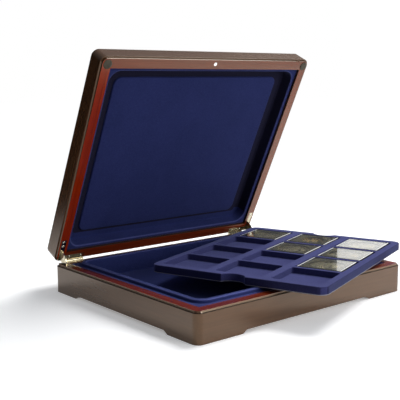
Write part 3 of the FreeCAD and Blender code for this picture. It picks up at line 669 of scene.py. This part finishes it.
def makeLidPad():
    size = lidPad
    floor = lidRim + lidLining["depth"]
    face = floor - size["thickness"] + size["crown"]
    corner = lambda inset: size["corner"] + size["insetY"] - inset
    stretch = Matrix.Diagonal(((halfLength - size["insetX"]) / (halfLength - size["insetY"]), 1, 1, 1))
    rings = [(size["insetY"], floor, size["corner"])]
    edge = size["edgeRound"]
    rings += roundOf(size["insetY"] + edge, face + edge, edge, 0, -90, size["edgeSteps"], corner)
    for share in size["crownShares"]:
        inset = size["insetY"] + edge + share * size["crownReach"]
        rings.append((inset, face - size["crown"] * math.sin(share * math.pi / 2), size["corner"]))
    piece = loftRings("lidPad", rings, size["arcSteps"], ["liningFlock"], lidSwing @ stretch)
    settle(piece, "lid", "lining_flock", "lid_pad")


makeBaseLining()
makeLidLining()
makeLidPad()
print("linings ready")

# Tray: flocked plate, a darker flock painted as shade round its outer sides, and a raw edge where it
# stops at the foot

tray = {
    "soften": 0.5 * mm,
    "softenAbove": 50,
    "edgeHeight": 0.8 * mm,
    "halfWidth": 101.5 * mm,
    "halfLength": 127.5 * mm,
    "sideReach": 0.8 * mm,
}


def paintTray(work):
    foot = trayLow.z + tray["edgeHeight"]
    cutThrough(work, (0, 0, foot), (0, 0, 1))
    middle = (trayLow + trayHigh) / 2
    along = Vector((-trayAcross.y, trayAcross.x, 0))
    for face in work.faces:
        place = face.calc_center_median()
        if place.z < foot:
            face.material_index = 1
        # Faces on the outer sides take the darker flock: painted shade
        elif (abs((place - middle).dot(trayAcross)) > tray["halfWidth"] - tray["sideReach"]
              or abs((place - middle).dot(along)) > tray["halfLength"] - tray["sideReach"]):
            face.material_index = 2


def makeTray():
    piece = easedCopy("tray_shell", "trayShell", [(tray["soften"], anyEdge)],
                      ["trayFlock", "rawEdge", "sideShadeFlock"], limit=tray["softenAbove"], finish=paintTray)
    settle(piece, "tray", "tray_flock", "tray_shell")


makeTray()

# Capsules: clear halves with polished, eased edges round a dark insert and a coin, with a painted
# highlight on the covers

capsule = {
    "arris": 0.35 * mm,
    "insertSoft": 0.3 * mm,
    "glintWidth": 1.2 * mm,
    "topShare": 0.5,
    "names": "123456",
}


# Two opposite top edges of a cover carry a pale strip, a painted highlight
def paintGlintEdges(work):
    middle = sum((vertex.co for vertex in work.verts), Vector()) / len(work.verts)
    spans = [(vertex.co - middle).dot(trayAcross) for vertex in work.verts]
    middle += trayAcross * (max(spans) + min(spans)) / 2
    reach = (max(spans) - min(spans)) / 2 - capsule["glintWidth"]
    for side in (-1, 1):
        cutThrough(work, middle + trayAcross * side * reach, trayAcross)
    work.normal_update()
    for face in work.faces:
        offset = abs((face.calc_center_median() - middle).dot(trayAcross))
        # Top faces within the strip take the pale material: a painted highlight
        if face.normal.z > capsule["topShare"] and offset > reach:
            face.material_index = 1


def makeCapsules():
    for name in capsule["names"]:
        for half, body in (("base", f"capsule_{name}"), ("cover", f"cover_{name}")):
            node = f"capsule_{name}_{half}"
            glintStrip = paintGlintEdges if half == "cover" else None
            piece = easedCopy(node, f"capsule{name}{half.capitalize()}", [(capsule["arris"], anyEdge)],
                              ["clearPlastic", "glintEdge"], finish=glintStrip)
            settle(piece, body, "clear_plastic", node)
        node = f"capsule_{name}_insert"
        piece = easedCopy(node, f"insert{name}", [(capsule["insertSoft"], anyEdge)], ["insertFoam"])
        settle(piece, f"capsule_{name}", "insert_foam", node)


makeCapsules()
print("tray and capsules ready")

# Geometry Nodes trees for what repeats: screws, and the relief on the coins

shapeSocket = [("Geometry", "Geometry")]


# Grows a tree on a starting mesh and keeps the result as a plain mesh
def growPiece(name, tree, values, mesh, transform):
    start = addObject(name + "Start", mesh)
    modifier = start.modifiers.new("grow", "NODES")
    modifier.node_group = tree
    for socket in tree.interface.items_tree:
        if socket.in_out == "INPUT" and socket.name in values:
            modifier[socket.identifier] = values[socket.name]
    grown = bpy.data.meshes.new_from_object(start.evaluated_get(bpy.context.evaluated_depsgraph_get()))
    start.modifiers.remove(modifier)
    bpy.data.objects.remove(start)
    grown.name = name
    grown.transform(transform)
    return finishMesh(grown, name, [], sharpAbove["grown"])


def closeTree(tree, result, shape, material):
    realized = addNode(tree, "GeometryNodeRealizeInstances")
    painted = addNode(tree, "GeometryNodeSetMaterial")
    connect(tree, (*shape, realized, 0), (realized, 0, painted, "Geometry"),
            (*material, painted, "Material"), (painted, 0, result, "Geometry"))


def raised(tree, shape, height, scale=(1, 1, 1)):
    offset = addNode(tree, "ShaderNodeCombineXYZ")
    placed = addNode(tree, "GeometryNodeTransform", {"Scale": scale})
    connect(tree, (*height, offset, "Z"), (*shape, placed, "Geometry"),
            (offset, 0, placed, "Translation"))
    return placed, 0


# Where fittings that are drawn face up at the origin sit on the two rims
def rimSeats(y):
    faceDown = Matrix.Rotation(math.pi, 4, "X")
    return {"base": Matrix.Translation((0, y, rimHeight)),
            "lid": lidSwing @ Matrix.Translation((0, y, lidRim)) @ faceDown}


# Slotted countersunk screws: sizes in millimetres, one point for each screw, slots left at any angle
screw = {
    "sizes": {"Head Radius": 1.65, "Head Height": 0.9, "Crown": 0.34, "Shank Radius": 0.75,
              "Shank Length": 7.0, "Slot Width": 0.42, "Slot Depth": 0.38},
    "crownShare": 0.72,
    "shankSink": -0.55,
    "slotLength": 4.0,
    "headSteps": 28,
    "shankSteps": 14,
    "seed": 5,
    "fromSide": (7.0, 7.0, 19.0, 34.0),
    "fromBack": (21.5, 27.0, 5.0, 5.0),
}


def makeScrewTree():
    sizes = [(label, "Float", size) for label, size in screw["sizes"].items()]
    inputs = shapeSocket + sizes + [("Seed", "Int"), ("Metal", "Material")]
    tree, source, result = newTree("GeometryNodeTree", "countersunkScrews", inputs, shapeSocket)
    head = addNode(tree, "GeometryNodeMeshCone", {"Vertices": screw["headSteps"]})
    crown = addNode(tree, "GeometryNodeMeshCone", {"Vertices": screw["headSteps"]})
    shank = addNode(tree, "GeometryNodeMeshCylinder", {"Vertices": screw["shankSteps"]})
    slot = addNode(tree, "GeometryNodeMeshCube")
    slotSize = addNode(tree, "ShaderNodeCombineXYZ", {"X": screw["slotLength"]})
    whole = addNode(tree, "GeometryNodeMeshBoolean", operation="UNION", solver="EXACT")
    slotted = addNode(tree, "GeometryNodeMeshBoolean", operation="DIFFERENCE", solver="EXACT")
    crownTop = compute(tree, "MULTIPLY", (source, "Head Radius"), screw["crownShare"])
    slotHeight = compute(tree, "MULTIPLY", (source, "Slot Depth"), 2.0)
    connect(tree, (source, "Head Radius", head, "Radius Top"),
            (source, "Shank Radius", head, "Radius Bottom"), (source, "Head Height", head, "Depth"),
            (*crownTop, crown, "Radius Top"), (source, "Head Radius", crown, "Radius Bottom"),
            (source, "Crown", crown, "Depth"), (source, "Shank Radius", shank, "Radius"),
            (source, "Shank Length", shank, "Depth"), (source, "Slot Width", slotSize, "Y"),
            (*slotHeight, slotSize, "Z"), (slotSize, 0, slot, "Size"))
    sunk = raised(tree, (head, "Mesh"), compute(tree, "MULTIPLY", (source, "Head Height"), -1.0))
    deep = raised(tree, (shank, "Mesh"),
                  compute(tree, "MULTIPLY", (source, "Shank Length"), screw["shankSink"]))
    for part in (sunk, (crown, "Mesh"), deep):
        connect(tree, (*part, whole, "Mesh 2"))
    # Input 3 and output 1 are the greatest value and the result of the float kind
    angle = addNode(tree, "FunctionNodeRandomValue", {3: math.pi}, data_type="FLOAT")
    turn = addNode(tree, "ShaderNodeCombineXYZ")
    spread = addNode(tree, "GeometryNodeInstanceOnPoints", {"Scale": (mm, mm, mm)})
    connect(tree, (whole, 0, slotted, "Mesh 1"), (slot, "Mesh", slotted, "Mesh 2"),
            (source, "Seed", angle, "Seed"), (angle, 1, turn, "Z"),
            (source, "Geometry", spread, "Points"), (slotted, 0, spread, "Instance"),
            (turn, 0, spread, "Rotation"))
    closeTree(tree, result, (spread, 0), (source, "Metal"))
    return tree


def makeScrews():
    tree = makeScrewTree()
    for (half, seat), facing in zip(rimSeats(0).items(), (1, -1)):
        points = [(side * (halfLength - across * mm), facing * (halfDepth - back * mm), 0)
                  for side in (-1, 1) for across, back in zip(screw["fromSide"], screw["fromBack"])]
        mesh = bpy.data.meshes.new("screwPoints")
        mesh.from_pydata(points, [], [])
        values = {**screw["sizes"], "Seed": screw["seed"] + facing, "Metal": paint["screwMetal"]}
        piece = growPiece(half + "Screws", tree, values, mesh, seat)
        settle(piece, half, "screw_brass", half + "_leaf_screws")


makeScrews()

# Coins: a turned blank, then beads, reeding and a ring of petals round a small dome

coin = {
    "rim": 1.4 * mm,
    "relief": 0.25 * mm,
    "steps": 96,
    "circleSteps": 128,
    "beads": 72,
    "beadSize": 0.34 * mm,
    "beadInset": 0.6 * mm,
    "reeds": 120,
    "reedSize": (0.16 * mm, 0.34 * mm),
    "reedProud": 0.3,
    "petals": 8,
    "petalOrbit": 0.46,
    "petalSize": (0.26, 0.115, 0.014),
    "heart": 0.15,
    "heartRise": 0.16,
    "gold": "2",
    "turnSeed": 11,
}


# Lays one shape round a circle, each turned to face outwards
def ringOf(tree, amount, radius, shape, height):
    circle = addNode(tree, "GeometryNodeCurvePrimitiveCircle", {"Resolution": coin["circleSteps"]})
    points = addNode(tree, "GeometryNodeCurveToPoints")
    ring = addNode(tree, "GeometryNodeInstanceOnPoints")
    place = addNode(tree, "GeometryNodeInputPosition")
    turn = addNode(tree, "FunctionNodeAlignRotationToVector", axis="X")
    connect(tree, (*radius, circle, "Radius"), (circle, "Curve", points, "Curve"),
            (*amount, points, "Count"), (points, "Points", ring, "Points"), (place, 0, turn, "Vector"),
            (turn, 0, ring, "Rotation"), (*shape, ring, "Instance"))
    return raised(tree, (ring, 0), height)


def makeCoinTree():
    tree, source, result = newTree("GeometryNodeTree", "coinRelief", shapeSocket + [
        ("Radius", "Float"), ("Thickness", "Float"), ("Bead Orbit", "Float"), ("Bead Count", "Int"),
        ("Bead Size", "Float"), ("Reed Count", "Int"), ("Reed Size", "Vector"), ("Petal Count", "Int"),
        ("Petal Orbit", "Float"), ("Petal Size", "Vector"), ("Heart", "Float"), ("Field", "Float"),
        ("Metal", "Material")], shapeSocket)
    bead = addNode(tree, "GeometryNodeMeshUVSphere", {"Segments": 8, "Rings": 4})
    reed = addNode(tree, "GeometryNodeMeshCube")
    ball = addNode(tree, "GeometryNodeMeshUVSphere", {"Segments": 16, "Rings": 8, "Radius": 1.0})
    petal = addNode(tree, "GeometryNodeTransform")
    dome = addNode(tree, "GeometryNodeMeshUVSphere", {"Segments": 24, "Rings": 10})
    whole = addNode(tree, "GeometryNodeJoinGeometry")
    connect(tree, (source, "Bead Size", bead, "Radius"), (source, "Reed Size", reed, "Size"),
            (ball, "Mesh", petal, "Geometry"), (source, "Petal Size", petal, "Scale"),
            (source, "Heart", dome, "Radius"))
    field = (source, "Field")
    heart = raised(tree, (dome, "Mesh"), field, (1, 1, coin["heartRise"]))
    half = compute(tree, "MULTIPLY", (source, "Thickness"), 0.5)
    rings = [ringOf(tree, (source, "Bead Count"), (source, "Bead Orbit"), (bead, "Mesh"), field),
             ringOf(tree, (source, "Reed Count"), (source, "Radius"), (reed, "Mesh"), half),
             ringOf(tree, (source, "Petal Count"), (source, "Petal Orbit"), (petal, 0), field)]
    for shape in [(source, "Geometry"), heart] + rings:
        connect(tree, (*shape, whole, 0))
    closeTree(tree, result, (whole, 0), (source, "Metal"))
    return tree


def makeCoins():
    tree = makeCoinTree()
    chance = random.Random(coin["turnSeed"])
    rim, relief = coin["rim"], coin["relief"]
    soft = relief / 2
    for name in capsule["names"]:
        node = f"coin_{name}"
        metalName = "goldCoin" if name == coin["gold"] else "silverCoin"
        low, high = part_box(node)
        middle = (low + high) / 2
        radius = (high.x - low.x) / 2
        thick = high.z - low.z
        profile = [(0, relief), (radius - rim, relief), (radius - rim + soft, 0), (radius - soft, 0),
                   (radius, soft), (radius, thick - soft), (radius - soft, thick),
                   (radius - rim + soft, thick), (radius - rim, thick - relief), (0, thick - relief)]
        blank = lathe(node + "Blank", profile, coin["steps"], [], Matrix())
        width, depth = coin["reedSize"]
        values = {"Radius": radius - coin["reedProud"] * depth, "Thickness": thick,
                  "Bead Orbit": radius - rim - coin["beadInset"], "Bead Count": coin["beads"],
                  "Bead Size": coin["beadSize"], "Reed Count": coin["reeds"],
                  "Reed Size": (depth, width * 2, thick - 4 * soft), "Petal Count": coin["petals"],
                  "Petal Orbit": radius * coin["petalOrbit"],
                  "Petal Size": tuple(radius * share for share in coin["petalSize"]),
                  "Heart": radius * coin["heart"], "Field": thick - relief, "Metal": paint[metalName]}
        turn = Matrix.Rotation(chance.uniform(0, math.tau), 4, "Z")
        seat = Matrix.Translation((middle.x, middle.y, low.z)) @ turn
        piece = growPiece(f"coin{name}", tree, values, blank.data, seat)
        bpy.data.objects.remove(blank)
        settle(piece, f"capsule_{name}", "gold_coin" if name == coin["gold"] else "silver_coin", node)


makeCoins()
print("screws and coins ready")

# Turned fittings on the rims: two bumpers with a low dome, and the catch magnets with a chamfer

fitting = {
    "bumperRadius": 5.25 * mm,
    "bumperInset": 8.3 * mm,
    "bumperHeight": 0.9 * mm,
    "bumperEdge": 0.35 * mm,
    "domeSteps": 7,
    "magnetRadius": 2.5 * mm,
    "magnetInset": 7.0 * mm,
    "magnetDepth": 2.5 * mm,
    "magnetChamfer": 0.3 * mm,
    "steps": 64,
}


def makeBumpers():
    radius, height, edge = fitting["bumperRadius"], fitting["bumperHeight"], fitting["bumperEdge"]
    profile = [(0, 0), (radius, 0), (radius, -edge)]
    for step in range(1, fitting["domeSteps"]):
        angle = math.radians(90) * step / fitting["domeSteps"]
        profile.append((radius * math.cos(angle), -edge - (height - edge) * math.sin(angle)))
    profile.append((0, -height))
    inset = fitting["bumperInset"]
    for side, name in ((-1, "left"), (1, "right")):
        seat = lidSwing @ Matrix.Translation((side * (halfLength - inset), inset - halfDepth, lidRim))
        piece = lathe(f"bumper{name.capitalize()}", profile, fitting["steps"], ["bumperRubber"], seat)
        settle(piece, "lid", "bumper_rubber", f"bumper_{name}")


def makeMagnets():
    radius, depth, chamfer = fitting["magnetRadius"], fitting["magnetDepth"], fitting["magnetChamfer"]
    profile = [(0, 0), (radius - chamfer, 0), (radius, -chamfer), (radius, -depth), (0, -depth)]
    for half, seat in rimSeats(fitting["magnetInset"] - halfDepth).items():
        piece = lathe(half + "Magnet", profile, fitting["steps"], ["catchMetal"], seat)
        settle(piece, half, "catch_metal", half + "_magnet")


makeBumpers()
makeMagnets()

# Hinges: stamped leaves, pins and stop plates with slightly broken edges

hinge = {
    "arris": 0.12 * mm,
    "easeAbove": 50,
    "bodies": {"base_leaf": "base", "lid_leaf": "lid", "hinge_pin": "base", "stop_quadrant": "lid"},
}


def makeHinges():
    for part, body in hinge["bodies"].items():
        for side in ("left", "right"):
            node = f"{part}_{side}"
            first, *rest = node.split("_")
            name = first + "".join(word.capitalize() for word in rest)
            piece = easedCopy(node, name, [(hinge["arris"], anyEdge)], ["hingeMetal"], segments=1,
                              limit=hinge["easeAbove"])
            settle(piece, body, "hinge_brass", node)


makeHinges()

# Panels keep the frame's shape and take a finished surface

panels = {"base_bottom_panel": "bottomBoard", "lid_top_panel": "lacquerAcross"}
for node, material in panels.items():
    cadNodes[node].data.materials.clear()
    cadNodes[node].data.materials.append(paint[material])
print("fittings ready")

# Floor, light and camera

studio = {
    "floorSize": 12.0,
    "floorColour": (0.92, 0.92, 0.92, 1),
    "floorPaper": {"Roughness": 0.9, "Specular IOR Level": 0.1},
    "nearWhite": 0.3,
    "litReach": (0.38, 0.85),
    "whiteRight": (0.2, 0.8),
    "skyColour": (0.88, 0.93, 1.0, 1),
    "skyStrength": (0.01, 0.42),
    "skyHeight": (0.1, 1.0),
    "skyRight": 0.12,
    "glowHeight": (0.06, 0.14),
    "glowRight": (0.5, 0.75),
    "cardEdge": (1.84, 1.383),
    "cardTurn": -50,
    "cardSize": (2.0, 1.8),
    "cardBright": (1.3, 0.3),
    "cardFade": (0.45, 1.3),
    "lamps": {
        "keyLamp": ((0.7, 0.05, 1.35), 0.8, 22),
        "fillLamp": ((0.65, -1.8, 0.7), 1.0, 16.5),
    },
    "lampAim": (0, 0, 0.05),
}

view = {
    "place": (-0.6150, -0.6794, 0.2479),
    "azimuth": -40.1,
    "downward": 8.75,
    "focalPixels": 807,
    "imagePixels": 400,
    "sensor": 36,
    "clip": (0.05, 50),
}

white = (1, 1, 1, 1)
black = (0, 0, 0, 1)


def stagePlane(name, corners, material):
    mesh = bpy.data.meshes.new(name)
    mesh.from_pydata(corners, [], [(0, 1, 2, 3)])
    mesh.materials.append(material)
    plane = addObject(name, mesh)
    plane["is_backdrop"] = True


# How far a ray is of one of the named kinds
def rayShare(tree, *kinds):
    path = addNode(tree, "ShaderNodeLightPath")
    share = (path, kinds[0])
    for kind in kinds[1:]:
        share = compute(tree, "MAXIMUM", share, (path, kind))
    return share


# White paper that is lit near the case. Further off it is simply white, to the eye everywhere and to
# metal and glass on the right, because the left of the room is dark
def makeFloor():
    material, tree, shader = openMaterial("floorPaper")
    setInputs(shader, studio["floorPaper"])
    place = addNode(tree, "ShaderNodeTexCoord")
    reach = addNode(tree, "ShaderNodeVectorMath", operation="LENGTH")
    axes = addNode(tree, "ShaderNodeSeparateXYZ")
    paper = addNode(tree, "ShaderNodeMix", {6: studio["floorColour"], 7: black}, data_type="RGBA")
    glow = addNode(tree, "ShaderNodeEmission", {"Color": white})
    both = addNode(tree, "ShaderNodeAddShader")
    far = remap(tree, (reach, "Value"), studio["litReach"], interpolation_type="SMOOTHSTEP")
    near = studio["nearWhite"]
    rising = remap(tree, far, (0, 1), (near, 1))
    falling = remap(tree, far, (0, 1), (near, 0))
    right = remap(tree, (axes, "X"), studio["whiteRight"])
    toEye = compute(tree, "MULTIPLY", rising, rayShare(tree, "Is Camera Ray"))
    shown = compute(tree, "ADD", falling, compute(tree, "MULTIPLY", far, right))
    toGloss = compute(tree, "MULTIPLY", shown, rayShare(tree, "Is Glossy Ray", "Is Transmission Ray"))
    strength = compute(tree, "ADD", toEye, toGloss)
    connect(tree, (place, "Object", reach, 0), (place, "Object", axes, 0), (*far, paper, 0),
            (paper, 2, shader, "Base Color"), (*strength, glow, "Strength"), (shader, 0, both, 0),
            (glow, 0, both, 1), (both, 0, tree.nodes["Material Output"], "Surface"))
    half = studio["floorSize"] / 2
    corners = [(-half, -half, 0), (half, -half, 0), (half, half, 0), (-half, half, 0)]
    stagePlane("floor", corners, material)


# White card behind and to the right, which the clear covers and the metal show
def makeCard():
    material, tree, shader = openMaterial("backCard")
    tree.nodes.remove(shader)
    place = addNode(tree, "ShaderNodeTexCoord")
    axes = addNode(tree, "ShaderNodeSeparateXYZ")
    glow = addNode(tree, "ShaderNodeEmission", {"Color": white})
    fade = remap(tree, (axes, "Z"), studio["cardFade"], studio["cardBright"])
    connect(tree, (place, "Object", axes, 0), (*fade, glow, "Strength"),
            (glow, 0, tree.nodes["Material Output"], "Surface"))
    wide, top = studio["cardSize"]
    turn = (Matrix.Translation((*studio["cardEdge"], 0))
            @ Matrix.Rotation(math.radians(studio["cardTurn"]), 4, "Z"))
    flat = ((0, 0, 0), (wide, 0, 0), (wide, 0, top), (0, 0, top))
    stagePlane("backCard", [turn @ Vector(corner) for corner in flat], material)


# A dim and slightly blue room for the light itself, white to the eye, and white low on the right to
# metal and glass
def makeWorld():
    world = bpy.data.worlds.new("studio")
    bpy.context.scene.world = world
    world.use_nodes = True
    tree = world.node_tree
    tree.nodes.clear()
    room = addNode(tree, "ShaderNodeBackground", {"Color": studio["skyColour"]})
    bright = addNode(tree, "ShaderNodeBackground", {"Color": white, "Strength": 1.0})
    place = addNode(tree, "ShaderNodeTexCoord")
    axes = addNode(tree, "ShaderNodeSeparateXYZ")
    mix = addNode(tree, "ShaderNodeMixShader")
    result = addNode(tree, "ShaderNodeOutputWorld")
    lean = compute(tree, "MULTIPLY_ADD", (axes, "X"), studio["skyRight"], (axes, "Z"))
    strength = remap(tree, lean, studio["skyHeight"], studio["skyStrength"])
    low = remap(tree, (axes, "Z"), studio["glowHeight"], (1, 0))
    right = remap(tree, (axes, "X"), studio["glowRight"])
    toGloss = compute(tree, "MULTIPLY", compute(tree, "MULTIPLY", low, right),
                      rayShare(tree, "Is Glossy Ray", "Is Transmission Ray"))
    either = compute(tree, "MAXIMUM", rayShare(tree, "Is Camera Ray"), toGloss)
    connect(tree, (place, "Generated", axes, 0), (*strength, room, "Strength"), (*either, mix, 0),
            (room, 0, mix, 1), (bright, 0, mix, 2), (mix, 0, result, "Surface"))


def makeLamp(name, place, size, power):
    data = bpy.data.lights.new(name, "AREA")
    data.shape = "SQUARE"
    data.size = size
    data.energy = power
    lamp = addObject(name, data)
    lamp.location = place
    aim = Vector(studio["lampAim"]) - Vector(place)
    lamp.rotation_euler = aim.to_track_quat("-Z", "Y").to_euler()


def makeCamera():
    data = bpy.data.cameras.new("photoView")
    data.sensor_width = view["sensor"]
    data.lens = view["focalPixels"] * view["sensor"] / view["imagePixels"]
    data.clip_start, data.clip_end = view["clip"]
    camera = addObject("photoView", data)
    camera.location = view["place"]
    camera.rotation_euler = (math.radians(90 - view["downward"]), 0, math.radians(view["azimuth"]))
    bpy.context.scene.camera = camera


makeFloor()
makeCard()
makeWorld()
for name, (place, size, power) in studio["lamps"].items():
    makeLamp(name, place, size, power)
makeCamera()
bpy.context.scene.view_settings.view_transform = "Standard"
print("studio ready")

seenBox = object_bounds()
{"cad": [list(corner) for corner in cadBox], "seen": [list(corner) for corner in seenBox]}
